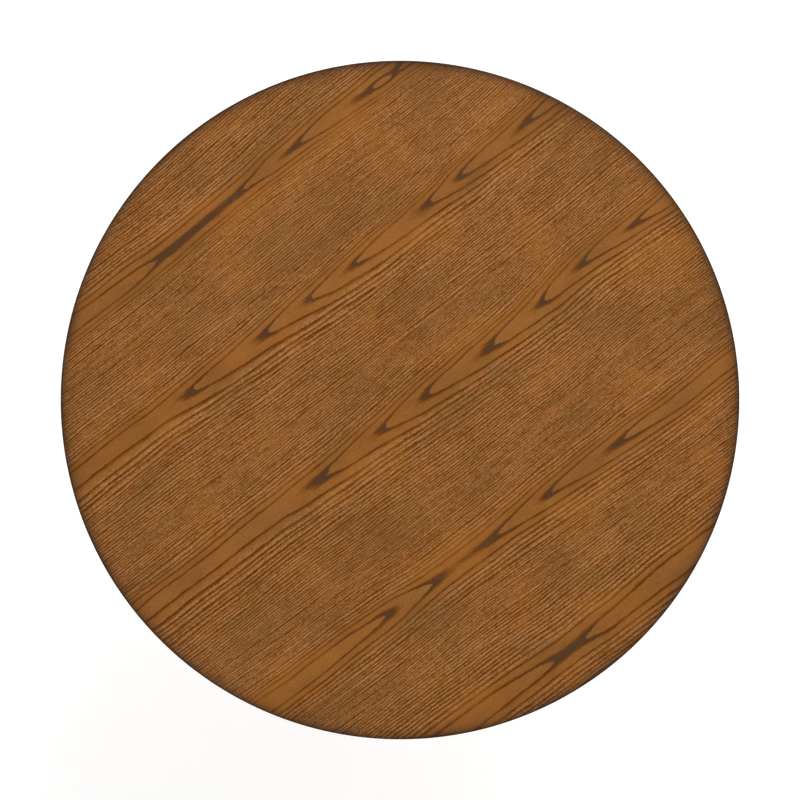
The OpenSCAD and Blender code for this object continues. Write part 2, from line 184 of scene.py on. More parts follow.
class Nodes:
    """A material's nodes. Each call adds a node, links or sets what it is given, and returns its
    output."""

    def __init__(self, name):
        self.material = bpy.data.materials.new(name)
        self.material.use_nodes = True
        self.tree = self.material.node_tree
        self.tree.nodes.clear()
        self.place = self.add("ShaderNodeTexCoord").outputs["Object"]

    def add(self, kind, **settings):
        node = self.tree.nodes.new(kind)
        for name, value in settings.items():
            setattr(node, name, value)
        return node

    def put(self, socket, value):
        if isinstance(value, bpy.types.NodeSocket):
            self.tree.links.new(value, socket)
        elif isinstance(value, tuple) and len(value) == 3 and len(socket.default_value) == 4:
            socket.default_value = (*value, 1.0)
        else:
            socket.default_value = value

    def math(self, operation, *values, clamp=False):
        node = self.add("ShaderNodeMath", operation=operation, use_clamp=clamp)
        for socket, value in zip(node.inputs, values):
            self.put(socket, value)
        return node.outputs[0]

    def plus(self, *values):
        total = values[0]
        for value in values[1:]:
            total = self.math("ADD", total, value)
        return total

    def minus(self, a, b):
        return self.math("SUBTRACT", a, b)

    def times(self, *values):
        total = values[0]
        for value in values[1:]:
            total = self.math("MULTIPLY", total, value)
        return total

    def distance(self, a, b):
        """How far a point is from where both a and b are nothing."""
        return self.math("SQRT", self.plus(self.times(a, a), self.times(b, b)))

    def vector(self, x, y, z):
        node = self.add("ShaderNodeCombineXYZ")
        for socket, value in zip(node.inputs, (x, y, z)):
            self.put(socket, value)
        return node.outputs[0]

    def split(self, vector):
        node = self.add("ShaderNodeSeparateXYZ")
        self.put(node.inputs[0], vector)
        return node.outputs

    def turned(self, vector, angle=0.0, scale=1.0):
        node = self.add("ShaderNodeMapping")
        self.put(node.inputs["Vector"], vector)
        node.inputs["Rotation"].default_value = (0.0, 0.0, angle)
        node.inputs["Scale"].default_value = (scale, scale, scale)
        return node.outputs[0]

    def cells(self, along, long, across, wide, third):
        """Places for noise in cells so many mm long along the grain and so many wide across it."""
        return self.vector(self.times(along, 1 / long), self.times(across, 1 / wide), third)

    def noise(self, vector, detail=2.0, rough=0.5):
        """Noise about one unit across, from 0 to 1."""
        node = self.add("ShaderNodeTexNoise")
        self.put(node.inputs["Vector"], vector)
        node.inputs["Scale"].default_value = 1.0
        node.inputs["Detail"].default_value = detail
        node.inputs["Roughness"].default_value = rough
        return node.outputs[0]

    def specks(self, fineness, detail=2.0, rough=0.5):
        """Noise that is alike in every direction, so many specks to the metre."""
        return self.noise(self.turned(self.place, scale=fineness), detail, rough)

    def wander(self, vector, reach, detail=2.0):
        """Noise that swings about reach either side of nothing."""
        return self.times(self.minus(self.noise(vector, detail), 0.5), 2 * reach)

    def between(self, value, low_end, high_end, to_low=0.0, to_high=1.0, smooth=True):
        node = self.add("ShaderNodeMapRange", interpolation_type="SMOOTHSTEP" if smooth else "LINEAR")
        for name, setting in (("Value", value), ("From Min", low_end), ("From Max", high_end),
                              ("To Min", to_low), ("To Max", to_high)):
            self.put(node.inputs[name], setting)
        return node.outputs[0]

    def line(self, value, points, smooth=False):
        """A curve through points (x, y), x rising, level beyond both ends."""
        xs, ys = [x for x, _ in points], [y for _, y in points]
        start, size = xs[0], xs[-1] - xs[0]
        base, rise = min(ys), max(max(ys) - min(ys), 1e-6)
        node = self.add("ShaderNodeFloatCurve")
        curve = node.mapping.curves[0]
        marks = [((x - start) / size, (y - base) / rise) for x, y in points]
        curve.points[0].location, curve.points[1].location = marks[0], marks[-1]
        for mark in marks[1:-1]:
            curve.points.new(*mark)
        for point in curve.points:
            point.handle_type = "AUTO_CLAMPED" if smooth else "VECTOR"
        node.mapping.update()
        self.put(node.inputs["Value"], self.between(value, start, xs[-1], smooth=False))
        return self.plus(self.times(node.outputs[0], rise), base)

    def mix(self, amount, first, second, blend="MIX"):
        node = self.add("ShaderNodeMix", data_type="RGBA", blend_type=blend)
        self.put(node.inputs["Factor"], amount)
        self.put(node.inputs[6], first)
        self.put(node.inputs[7], second)
        return node.outputs[2]

    def ramp(self, amount, stops):
        """A blend through colours: stops is [(place, colour), ...], places rising."""
        node = self.add("ShaderNodeValToRGB")
        band = node.color_ramp
        for place, hue in stops[1:-1]:
            band.elements.new(place).color = (*hue, 1.0)
        band.elements[0].position, band.elements[0].color = stops[0][0], (*stops[0][1], 1.0)
        band.elements[-1].position, band.elements[-1].color = stops[-1][0], (*stops[-1][1], 1.0)
        self.put(node.inputs[0], amount)
        return node.outputs[0]

    def attribute(self, name):
        return self.add("ShaderNodeAttribute", attribute_type="GEOMETRY", attribute_name=name)

    def bump(self, height, distance, strength):
        node = self.add("ShaderNodeBump")
        self.put(node.inputs["Height"], height)
        node.inputs["Distance"].default_value = distance
        node.inputs["Strength"].default_value = strength
        return node.outputs[0]

    def surface(self, **sockets):
        """The shader itself. Names are the shader's sockets, with _ for a space."""
        shader = self.add("ShaderNodeBsdfPrincipled")
        for name, value in sockets.items():
            self.put(shader.inputs[name.replace("_", " ")], value)
        out = self.add("ShaderNodeOutputMaterial")
        self.tree.links.new(shader.outputs[0], out.inputs["Surface"])
        return self.material


# ---------- oak ----------

# How dark the wood is from one ring line towards the next, as a share of the early wood's width.
EARLY_WOOD = [(-0.3, 1.0), (0.0, 1.0), (0.3, 0.96), (0.55, 0.66), (0.8, 0.24), (1.1, 0.0), (2.4, 0.0)]


def oak_shade(n, ring, along, across, wide=0.0, far=1.0):
    """How dark the stained oak is, 0 to 1, and its open pores. ring counts growth rings, along and
    across are in mm. wide is 1 where the saw met the rings so flat that their early wood spreads out,
    and far is 1 where they lie close and straight."""
    jagged = n.wander(n.cells(along, 14, across, 1.5, 12.0), 0.07)
    phase = n.math("FRACT", n.plus(ring, jagged))
    streak = n.wander(n.cells(along, 34, across, 2.2, 3.0), 0.5, 3.0)
    spread = n.plus(0.27, n.times(wide, 0.05), n.times(far, 0.38))
    early = n.line(n.math("DIVIDE", n.plus(phase, n.times(streak, phase, 1.6)), spread), EARLY_WOOD)
    broken = n.noise(n.vector(n.times(along, 1 / 17), n.times(ring, 2.1), 3.1), 3.0, 0.6)
    broken = n.between(broken, 0.28, 0.66, n.between(far, 0.0, 1.0, 0.88, 0.66), 1.0)
    lines = n.times(early, broken, n.between(far, 0.0, 1.0, 0.68, 0.84))
    fibres = n.wander(n.cells(along, 20, across, 2.2, 7.7), 0.13, 2.0)
    dashes = n.wander(n.cells(along, 4.2, across, 1.6, 17.7), 0.44, 0.0)
    quiet = n.between(far, 0.0, 1.0, 0.25, 1.0)
    pores = n.between(n.noise(n.cells(along, 5.0, across, 0.8, 1.3), 1.0), 0.58, 0.70)
    pores = n.times(pores, n.between(early, 0.15, 0.7, 0.3, 1.0))
    patches = n.wander(n.cells(along, 26, across, 10, 5.9), 0.08, 3.0)
    clouds = n.wander(n.cells(along, 150, across, 60, 9.4), 0.07)
    shade = n.plus(lines, n.times(n.plus(fibres, dashes), quiet), clouds, patches, n.times(pores, 0.16))
    level = n.between(far, 0.0, 1.0, 0.27, 0.07)
    return n.math("ADD", shade, level, clamp=True), pores


OLIVE, GOLD = tone(106, 76, 36), tone(172, 108, 42)


def oak_colour(n, finish, shade, along, across):
    """The stain's colour for a shade, with its slow drift between olive and gold."""
    stain = (finish.pale, finish.light, finish.middle, finish.dark, finish.deep)
    places = (0.0, 0.22, 0.42, 0.72, 1.0)
    base = n.ramp(shade, [(place, tuple(hue)) for place, hue in zip(places, stain)])
    drift = n.noise(n.cells(along, 130, across, 75, 21.0), 4.0, 0.55)
    olive = n.mix(n.between(drift, 0.46, 0.70, 0.0, 0.9), base, n.mix(0.42, base, OLIVE))
    return n.mix(n.between(drift, 0.52, 0.3, 0.0, 0.8), olive, n.mix(0.42, base, GOLD))


def oak_surface(n, finish, hue, shade, pores, worn=None, shine=0.26):
    """Satin lacquer over open pored oak."""
    height = n.minus(1.0, n.plus(pores, n.times(shade, 0.3)))
    rough = n.plus(n.times(pores, 0.12), n.times(shade, 0.06), finish.gloss)
    if worn is not None:
        rough = n.minus(rough, n.times(worn, 0.08))
    return n.surface(Base_Color=hue, Roughness=rough, IOR=1.45, Specular_IOR_Level=shine,
                     Normal=n.bump(height, finish.pore_depth, 0.5))


# Each leaf's figure, in mm along and across the grain. axis is the pith's line. spread says how many
# rings lie between it and a point so far across. tips says which ring the pith lies in at each place
# along: an arch comes to its tip where that crosses a whole ring.
LEAVES = {
    1: {"axis": [(-345, 403), (-100, 408), (100, 415), (345, 419)],
        "spread": [(-130, -38.7), (-70, -21.6), (-40, -12.6), (0, 0), (48, 12.5), (145, 38)],
        "tips": [(-345, 9.55), (-215, 9.75), (-164, 10.0), (-100, 10.07), (-45, 10.06), (6, 10.0),
                 (60, 9.42), (115, 9.0), (200, 8.32), (257, 8.0), (277, 7.88), (297, 8.0), (305, 8.05),
                 (313, 8.0), (345, 7.8)]},
    2: {"axis": [(-500, 207), (-100, 209), (79, 212), (227, 218), (294, 223), (434, 231), (500, 234)],
        "spread": [(-175, -43), (-82, -20.2), (-52, -12), (0, 0), (20, 6.2), (48, 15.8), (78, 24.5),
                   (125, 37.7)],
        "tips": [(-500, 14.62), (-330, 14.55), (-290, 14.35), (-249, 14.0), (-100, 13.0), (-15, 12.0),
                 (79, 11.0), (227, 10.0), (294, 9.0), (434, 8.0), (500, 7.6)]},
    3: {"axis": [(-530, -24), (-235, -22), (-42, -20), (44, -18), (174, -17), (276, -10), (364, -2),
                 (530, 1)],
        "spread": [(-170, -42), (-105, -24.7), (-75, -17.3), (-45, -10), (0, 0), (20, 6.2), (45, 13.9),
                   (120, 38)],
        "tips": [(-530, 14.72), (-270, 14.62), (-235, 14.38), (-157, 14.0), (-42, 13.0), (44, 12.0),
                 (119, 11.35), (174, 11.0), (276, 10.0), (329, 9.35), (364, 9.0), (475, 8.0), (530, 7.6)]},
    4: {"axis": [(-470, -256), (-223, -259), (0, -260), (245, -261), (470, -262)],
        "spread": [(-125, -33.5), (-60, -14.6), (-30, -6.9), (0, 0), (40, 10.8), (70, 20.3),
                   (130, 38.6)],
        "tips": [(-470, 8.35), (-300, 8.72), (-223, 9.0), (-133, 10.0), (-66, 10.2), (0, 10.0),
                 (103, 9.0), (194, 8.35), (245, 8.0), (320, 7.68), (470, 7.5)]},
    5: {"axis": [(-255, -470), (0, -471), (255, -472)],
        "spread": [(-85, -18.2), (0, 0), (41, 9), (125, 28.5)],
        "tips": [(-255, 9.5), (-120, 9.72), (-54, 10.0), (-22, 10.1), (9, 10.0), (60, 9.75),
                 (255, 9.45)]},
}


# How far the face is darkened towards the rim, by the distance in mm in from the rim.
RIM_DARKENING = [(0.0, 1.0), (1.6, 0.92), (3.3, 0.69), (6.5, 0.47), (11.2, 0.28), (18.0, 0.15), (30.0, 0.048),
           (52.0, 0.0)]


def rim_shade(n):
    """How far the darkening towards the rim hides the wood of the face."""
    x, y, _ = n.split(n.place)
    radius = n.distance(x, y)
    uneven = n.wander(n.turned(n.place, scale=14.0), 2.2 * MM)
    inward = n.times(n.minus(TOP_R, n.plus(radius, uneven)), 1 / MM)
    return n.line(inward, RIM_DARKENING)


def leaf_oak(finish, sizes, number):
    """One leaf of flat-cut veneer, its arches in a row along the grain."""
    n = Nodes(f"oak_leaf_{number}")
    leaf = LEAVES[number]
    along, across, _ = n.split(n.turned(n.place, -sizes.grain_angle, 1 / MM))
    seed = 31.7 * number
    slow = n.wander(n.cells(along, 230, across, 85, seed), 7.0)
    quick = n.wander(n.cells(along, 55, across, 16, seed + 4), 1.5)
    off = n.minus(n.plus(across, slow, quick), n.line(along, leaf["axis"], smooth=True))
    side = n.line(off, leaf["spread"], smooth=True)
    pith = n.line(along, leaf["tips"], smooth=True)
    pith = n.plus(pith, n.wander(n.cells(along, 70, across, 22, seed + 8), 0.10))
    ring = n.distance(side, pith)
    apart = n.math("ABSOLUTE", off)
    uneven = n.wander(n.vector(n.times(n.minus(ring, pith), 0.45), seed, 0.0), 0.9)
    ring = n.plus(ring, n.times(uneven, n.between(apart, 6.0, 40.0)))
    wide = n.between(apart, 13.0, 4.0)
    far = n.between(apart, 14.0, 40.0)
    shade, pores = oak_shade(n, ring, along, n.plus(across, seed), wide, far)
    hue = oak_colour(n, finish, shade, along, n.plus(across, seed))
    glaze_and_recess_shade = n.noise(n.cells(along, 7, across, 2.2, seed), 3.0)
    blots = n.times(wide, n.between(shade, 0.5, 0.85), n.between(glaze_and_recess_shade, 0.38, 0.56, 0.12, 0.95))
    hue = n.mix(blots, hue, tuple(finish.tip))
    # The face is darkened towards its rim.
    hue = n.mix(rim_shade(n), hue, tuple(finish.rim_dark_and_recess_shade))
    return oak_surface(n, finish, hue, shade, pores)


def solid_oak(finish, name, tint=None, darken=0.0, shine=0.35):
    """Oak cut from the solid: the piece's own grain attribute says where each point lay in its board.
    darken says how far tint covers the wood."""
    n = Nodes(name)
    grain = n.attribute("grain").outputs["Vector"]
    along, across, depth = n.split(n.turned(grain, scale=1 / MM))
    slow = n.wander(n.cells(along, 240, across, 70, n.times(depth, 1 / 70)), 9.0)
    wave = n.wander(n.cells(along, 60, across, 18, n.times(depth, 1 / 18)), 1.2)
    side = n.plus(across, slow, wave)
    deep = n.plus(depth, n.times(along, 0.055), n.times(slow, 0.6), 52.0)
    ring = n.times(n.distance(side, deep), 1 / 3.7)
    shade, pores = oak_shade(n, ring, along, n.plus(across, n.times(depth, 0.7)), 0.0, 0.8)
    shade = n.math("ADD", shade, 0.05, clamp=True)
    hue = oak_colour(n, finish, shade, along, n.plus(across, depth))
    if tint is not None:
        hue = n.mix(darken, hue, tint)
    worn = n.attribute("worn").outputs["Fac"]
    glaze_and_recess_shade = n.attribute("glaze_and_recess_shade").outputs["Fac"]
    patchy = n.between(n.specks(60.0, 3.0), 0.35, 0.7, 0.25, 1.0)
    worn = n.times(worn, patchy)
    hue = n.mix(n.times(worn, 0.45), hue, tuple(finish.worn))
    # Painted shade: the recesses, creases and hollows that the edge marks found are darkened.
    hue = n.mix(n.times(glaze_and_recess_shade, 0.72), hue, tuple(finish.rim_dark_and_recess_shade))
    return oak_surface(n, finish, hue, shade, pores, worn, shine)


def backing_oak(finish):
    """Plain straight-grained veneer under the top, sealed but not stained dark."""
    n = Nodes("backing_oak")
    along, across, _ = n.split(n.turned(n.place, 0.0, 1 / MM))
    slow = n.wander(n.cells(along, 300, across, 120, 2.0), 6.0)
    ring = n.times(n.plus(across, slow, 700.0), 1 / 3.4)
    shade, pores = oak_shade(n, ring, along, across)
    hue = n.mix(0.35, oak_colour(n, finish, shade, along, across), tone(168, 126, 80))
    return oak_surface(n, finish, hue, shade, pores)


def beech(name, turn):
    """Pale close-grained wood with short flecks, its grain turned from +X by turn."""
    n = Nodes(name)
    along, across, depth = n.split(n.turned(n.place, -turn, 1 / MM))
    rings = n.noise(n.cells(along, 210, across, 9, n.times(depth, 1 / 9)), 4.0, 0.6)
    flecks = n.noise(n.cells(along, 2.6, across, 0.5, n.times(depth, 1 / 0.5)), 1.0)
    flecks = n.between(flecks, 0.62, 0.70)
    hue = n.ramp(rings, [(0.25, tone(206, 166, 118)), (0.5, tone(192, 150, 102)),
                         (0.75, tone(170, 126, 82))])
    hue = n.mix(n.times(flecks, 0.5), hue, tone(140, 96, 58))
    rough = n.plus(n.times(rings, 0.15), n.times(flecks, 0.1), 0.48)
    return n.surface(Base_Color=hue, Roughness=rough, IOR=1.45,
                     Normal=n.bump(n.minus(rings, flecks), 0.15 * MM, 0.5))


def core_board():
    """Pressed chips of pale wood."""
    n = Nodes("core_board")
    cells = n.add("ShaderNodeTexVoronoi")
    n.put(cells.inputs["Vector"], n.turned(n.place, scale=380.0))
    chips = n.ramp(n.specks(420.0, 3.0),
                   [(0.3, tone(150, 112, 70)), (0.7, tone(205, 170, 122))])
    hue = n.mix(0.6, chips, cells.outputs["Color"], "SOFT_LIGHT")
    return n.surface(Base_Color=hue, Roughness=0.8,
                     Normal=n.bump(cells.outputs["Distance"], 0.3 * MM, 0.5))


# ---------- metal and plastic ----------

def zinc_steel():
    """Bright zinc plate: faint crystals, yellow and blue drift, a dull film with rubbed marks."""
    n = Nodes("zinc_steel")
    film = n.specks(130.0, 4.0, 0.6)
    drift = n.specks(45.0, 2.0)
    marks = n.specks(900.0, 2.0)
    hue = n.ramp(drift, [(0.3, tone(176, 180, 186)), (0.55, tone(190, 188, 180)),
                         (0.8, tone(196, 186, 160))])
    hue = n.mix(n.between(film, 0.55, 0.8, 0.0, 0.35), hue, tone(120, 116, 108))
    rough = n.plus(n.times(film, 0.22), n.times(marks, 0.10), 0.18)
    return n.surface(Base_Color=hue, Metallic=1.0, Roughness=rough, Normal=n.bump(marks, 0.02 * MM, 0.6))


def black_paint():
    """Black satin paint over steel plate, with orange peel and a little dust."""
    n = Nodes("black_painted_steel")
    peel = n.specks(700.0, 2.0)
    dust = n.between(n.specks(160.0, 5.0, 0.7), 0.52, 0.75)
    hue = n.mix(n.times(dust, 0.4), tone(28, 28, 29), tone(92, 88, 82))
    rough = n.plus(n.times(dust, 0.3), n.times(peel, 0.1), 0.36)
    return n.surface(Base_Color=hue, Roughness=rough, IOR=1.5, Normal=n.bump(peel, 0.06 * MM, 0.5))


def dark_nylon():
    """Moulded nylon with a fine spark grain and scuffs round its foot."""
    n = Nodes("dark_nylon")
    grain = n.specks(1600.0, 3.0)
    _, _, height = n.split(n.place)
    scuffs = n.specks(420.0, 4.0, 0.7)
    scuffs = n.times(n.between(scuffs, 0.5, 0.68), n.between(height, 5 * MM, 1 * MM))
    hue = n.mix(scuffs, n.mix(grain, tone(34, 32, 30), tone(48, 45, 42)), tone(104, 98, 90))
    rough = n.plus(n.times(grain, 0.12), n.times(scuffs, 0.2), 0.48)
    return n.surface(Base_Color=hue, Roughness=rough, IOR=1.53, Normal=n.bump(grain, 0.06 * MM, 0.6))


def floor_white(studio):
    """A pale floor that gives off a little light, so that only the table's shadow tells on it."""
    n = Nodes("floor_white")
    speck = n.specks(3.0, 3.0)
    rough = n.plus(n.times(speck, 0.1), 0.8)
    glow = tuple(studio.floor)
    return n.surface(Base_Color=glow, Roughness=rough, Specular_IOR_Level=0.0, Emission_Color=glow,
                     Emission_Strength=studio.glow)


# ---------- outlines ----------

def bezier(a, b, c, d, steps):
    """Points along a curve from a to d, without a itself."""
    a, b, c, d = (Vector(p) for p in (a, b, c, d))
    points = []
    for i in range(1, steps + 1):
        t = i / steps
        s = 1 - t
        points.append(tuple(s ** 3 * a + 3 * s * s * t * b + 3 * s * t * t * c + t ** 3 * d))
    return points


def arc(centre, radius, start, end, steps):
    """Points on an arc, angles in degrees."""
    points = []
    for i in range(steps + 1):
        angle = math.radians(start + (end - start) * i / steps)
        points.append((centre[0] + radius * math.cos(angle), centre[1] + radius * math.sin(angle)))
    return points


def eased(corners, steps=5):
    """A closed outline whose corners are (x, y, radius), with each corner rounded by its radius."""
    points = []
    count = len(corners)
    for i, (x, y, radius) in enumerate(corners):
        here = Vector((x, y))
        back = (Vector(corners[i - 1][:2]) - here).normalized()
        on = (Vector(corners[(i + 1) % count][:2]) - here).normalized()
        if radius <= 0 or abs(back.cross(on)) < 1e-3:
            points.append((x, y))
            continue
        half = back.angle(on) / 2
        reach = radius / math.tan(half)
        centre = here + (back + on).normalized() * (radius / math.sin(half))
        first, last = here + back * reach - centre, here + on * reach - centre
        turn = first.angle_signed(last)
        for k in range(steps + 1):
            angle = -turn * k / steps
            cos_a, sin_a = math.cos(angle), math.sin(angle)
            points.append((centre.x + first.x * cos_a - first.y * sin_a,
                           centre.y + first.x * sin_a + first.y * cos_a))
    return points


def filled_in(points, gap, closed=True):
    """The same outline with points added so that none stand further apart than gap."""
    result = []
    pairs = zip(points, points[1:] + (points[:1] if closed else []))
    for (x0, y0), (x1, y1) in pairs:
        count = max(1, math.ceil(math.hypot(x1 - x0, y1 - y0) / gap))
        for k in range(count):
            result.append((x0 + (x1 - x0) * k / count, y0 + (y1 - y0) * k / count))
    if not closed:
        result.append(points[-1])
    return result


def edge_marks(points, reach, closed=True):
    """(worn, painted shade) for each point of an outline that runs anticlockwise round its solid: how
    sharply it stands out, and how sharply it turns in, judged over reach either way."""
    count = len(points)
    marks = []

    def walk(start, step):
        index, left = start, reach
        while left > 0:
            nxt = index + step
            if not closed and not 0 <= nxt < count:
                break
            left -= math.dist(points[index % count], points[nxt % count])
            index = nxt
            if abs(index - start) >= count:
                break
        return Vector(points[index % count])

    for i in range(count):
        here = Vector(points[i])
        before, after = here - walk(i, -1), walk(i, 1) - here
        if before.length < 1e-9 or after.length < 1e-9:
            marks.append(PLAIN)
            continue
        turn = before.cross(after) / (before.length * after.length)
        marks.append((min(1.0, max(0.0, turn * 1.3 - 0.12)), min(1.0, max(0.0, -turn * 1.5 - 0.1))))
    return marks


# ---------- meshes ----------

def ring(solid, centre, height, sides, reach, start=0.0):
    """A ring of points round an upright line. reach(angle) gives each one's distance from it."""
    row = []
    for k in range(sides):
        angle = FULL_TURN * k / sides + start
        x, y = reach(angle) * math.cos(angle), reach(angle) * math.sin(angle)
        row.append(solid.add((centre[0] + x, centre[1] + y, height)))
    return row


def level(radius):
    """The reach of a plain round ring."""
    return lambda angle: radius


class Solid:
    """One piece in the making: points and faces in metres, each point with its place in its board
    and its edge marks."""

    def __init__(self):
        self.points, self.faces, self.grain, self.marks = [], [], [], []

    def add(self, point, grain=None, mark=PLAIN):
        self.points.append(tuple(point))
        self.grain.append(tuple(grain if grain is not None else point))
        self.marks.append(mark)
        return len(self.points) - 1

    def band(self, first, second):
        """Quads between two rings of points."""
        count = len(first)
        for i in range(count):
            j = (i + 1) % count
            self.faces.append((first[i], first[j], second[j], second[i]))

    def skin(self, rows, ends=True):
        """Quads through rows of points. The first and the last row are closed, or joined up where ends
        is False."""
        for first, second in zip(rows, rows[1:] if ends else rows[1:] + rows[:1]):
            self.band(first, second)
        if ends:
            self.faces += [tuple(reversed(rows[0])), tuple(rows[-1])]

    def piece(self, name, material, body="table", replaces=()):
        mesh = bpy.data.meshes.new(name)
        mesh.from_pydata(self.points, [], self.faces)
        for label, kind, values in (("grain", "FLOAT_VECTOR", [c for g in self.grain for c in g]),
                                    ("worn", "FLOAT", [m[0] for m in self.marks]),
                                    ("glaze_and_recess_shade", "FLOAT", [m[1] for m in self.marks])):
            layer = mesh.attributes.new(label, kind, "POINT")
            layer.data.foreach_set("vector" if kind == "FLOAT_VECTOR" else "value", values)
        mesh.materials.append(material)
        mesh.validate()
        mesh.shade_smooth()
        obj = bpy.data.objects.new(name, mesh)
        bpy.context.scene.collection.objects.link(obj)
        outward_faces(mesh)
        even = obj.modifiers.new("Even shading", "WEIGHTED_NORMAL")
        even.weight = 80
        even.keep_sharp = True
        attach(obj, body)
        if replaces:
            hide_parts(*replaces)
        return obj


def outward_faces(mesh):
    """Turns every face to look outward, and cuts the big flat ones into triangles."""
    work = bmesh.new()
    work.from_mesh(mesh)
    bmesh.ops.recalc_face_normals(work, faces=work.faces)
    big = [face for face in work.faces if len(face.verts) > 4]
    bmesh.ops.triangulate(work, faces=big)
    work.to_mesh(mesh)
    work.free()


def spun(solid, section, start, sweep, steps, grain, marks=None):
    """Sweeps a closed section of (radius, height) points round the upright axis, from the angle start
    through sweep, both in radians. grain(radius, height, angle) gives a point's place in its board."""
    whole = abs(sweep) > FULL_TURN - 1e-6
    rows = []
    for k in range(steps + (0 if whole else 1)):
        angle = start + sweep * k / steps
        row = []
        for i, (radius, height) in enumerate(section):
            point = (radius * math.cos(angle), radius * math.sin(angle), height)
            row.append(solid.add(point, grain(radius, height, angle), marks[i] if marks else PLAIN))
        rows.append(row)
    solid.skin(rows, ends=not whole)


RIFT = 118 * MM  # how far from its tree's middle a bent length was sawn, which keeps its lines straight


def round_grain(offset):
    """Grain that runs round a bent piece, which starts at its own place in the board."""
    def place(radius, height, angle):
        return (angle * APRON_OUT_R + offset, height - UNDER_Z + RIFT, radius - APRON_OUT_R)
    return place


def thread(solid, centre, radius, pitch, bottom, top, depth, sides=28, per_turn=6, lead=1.5):
    """A threaded shank: a screw ridge from bottom to top that fades out at both of its flat ends."""
    rows = []
    steps = max(2, round((top - bottom) / pitch * per_turn))
    for k in range(steps + 1):
        height = bottom + (top - bottom) * k / steps
        fade = min(1.0, (height - bottom) / (lead * pitch), (top - height) / (lead * pitch))
        chamfer = depth * max(0.0, 1 - fade * lead)

        def reach(angle):
            wave = (height / pitch - angle / FULL_TURN) % 1.0
            return radius - max(depth * abs(2 * wave - 1) * max(0.0, fade), chamfer)

        rows.append(ring(solid, centre, height, sides, reach))
    solid.skin(rows)


def hex_radius(across, angle):
    """Distance from a hexagon's middle to its side at an angle."""
    sixth = FULL_TURN / 6
    return across / 2 / math.cos((angle + sixth / 2) % sixth - sixth / 2)


def hexagon(solid, centre, across, bottom, top, bore, chamfer):
    """A hexagon with chamfered corners, and a bore through it where bore isn't nothing."""
    corner = across / 2 / math.cos(FULL_TURN / 12)
    flat = across / 2 * 0.97

    def row(height, reach):
        return ring(solid, centre, height, 72, reach, FULL_TURN / 12)

    def cut(left):
        return lambda angle: min(hex_radius(across, angle), flat + left / chamfer * (corner - flat))

    half = chamfer / 2
    rows = [row(bottom, cut(0.0)), row(bottom + half, cut(half)), row(bottom + chamfer, cut(chamfer)),
            row(top - chamfer, cut(chamfer)), row(top - half, cut(half)), row(top, cut(0.0))]
    if bore > 0:
        rows += [row(top, level(bore)), row(bottom, level(bore))]
    solid.skin(rows, ends=bore <= 0)


# ---------- pieces ----------

# Sizes of the turned and shaped work that no node's box gives.
CLIP_GROOVE = (12.5 * MM, 15.5 * MM, 8 * MM)  # its top and foot, down from the table top, and its depth
ROD_BORE, TENON_R, HOLLOW_R = 6 * MM, 30 * MM, 40 * MM
WAIST_R, NECK_R, BEAD_R = 54 * MM, 46 * MM, 10 * MM
BLOCK_CHAMFER = 5 * MM
BLOCK_RISE = 10 * MM  # how far the block stands above the legs
GLIDE_IN = 37 * MM    # how far inside a leg's reach its glide stands
FLANGE_PROUD = 0.25 * MM  # how far a glide's insert stands out of the foot
STEM_R, STEM_HEX, THREAD_DEPTH = 4 * MM, 13 * MM, 0.62 * MM
ROD_ENDS = (60 * MM, 40 * MM)  # length of the tie rod's thread at its foot and its head


def lay_floor(scene, studio):
    """A round floor that curves up into a low wall far from the table, so that no horizon shows."""
    flat, bend, wall = 7, 3, (5.5, 8.0)
    outline = [(1 * MM, 0.0)] + [(float(k), 0.0) for k in range(1, flat + 1)]
    outline += arc((flat, bend), bend, -90, 0, 16)[1:] + [(flat + bend, height) for height in wall]
    cove = Solid()
    rows = [ring(cove, AXIS, height + FRAME_BOX[0][2], 96, level(radius)) for radius, height in outline]
    for first, second in zip(rows, rows[1:]):
        cove.band(second, first)
    mesh = bpy.data.meshes.new("floor")
    mesh.from_pydata(cove.points, [], cove.faces)
    mesh.shade_smooth()
    mesh.materials.append(floor_white(studio))
    floor = bpy.data.objects.new("floor", mesh)
    scene.collection.objects.link(floor)


def scene_settings():
    scene = bpy.context.scene
    return scene.table_oak, scene.table_sizes, scene.table_studio


def dress(material, *nodes):
    """Gives frame nodes that keep their own shape their finish."""
    for node in nodes:
        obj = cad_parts[node]
        for material_slot in obj.material_slots:
            material_slot.material = material
        if not obj.material_slots:
            obj.data.materials.append(material)


def leaf_span(number, angle):
    """Where a leaf starts and ends across the grain, from its frame node."""
    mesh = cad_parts[f"veneer_leaf_{number}"].data
    spans = [-v.co.x * math.sin(angle) + v.co.y * math.cos(angle) for v in mesh.vertices]
    return min(spans), max(spans)


def build_leaf(number, finish, sizes):
    """One leaf of the face: a thin plate, straight along its seams and round at the rim."""
    angle = sizes.grain_angle
    cos_a, sin_a = math.cos(angle), math.sin(angle)
    span = [max(-FACE_R, min(FACE_R, edge)) for edge in leaf_span(number, angle)]
    start, end = (math.asin(edge / FACE_R) for edge in span)
    steps = max(12, math.ceil(math.degrees(end - start)))
    solid = Solid()
    rows = []
    for k in range(steps + 1):
        tilt = start + (end - start) * k / steps
        across, half = FACE_R * math.sin(tilt), max(FACE_R * math.cos(tilt), 0.2 * MM)
        row = []
        for along, sunk in ((-half, 0.0), (half, 0.0), (half, VENEER_T), (-half, VENEER_T)):
            x, y = along * cos_a - across * sin_a, along * sin_a + across * cos_a
            row.append(solid.add((x, y, TOP_Z - sunk)))
        rows.append(row)
    solid.skin(rows)
    node = f"veneer_leaf_{number}"
    obj = solid.piece(f"face_{node}", leaf_oak(finish, sizes, number), replaces=[node])
    obj.data.shade_flat()


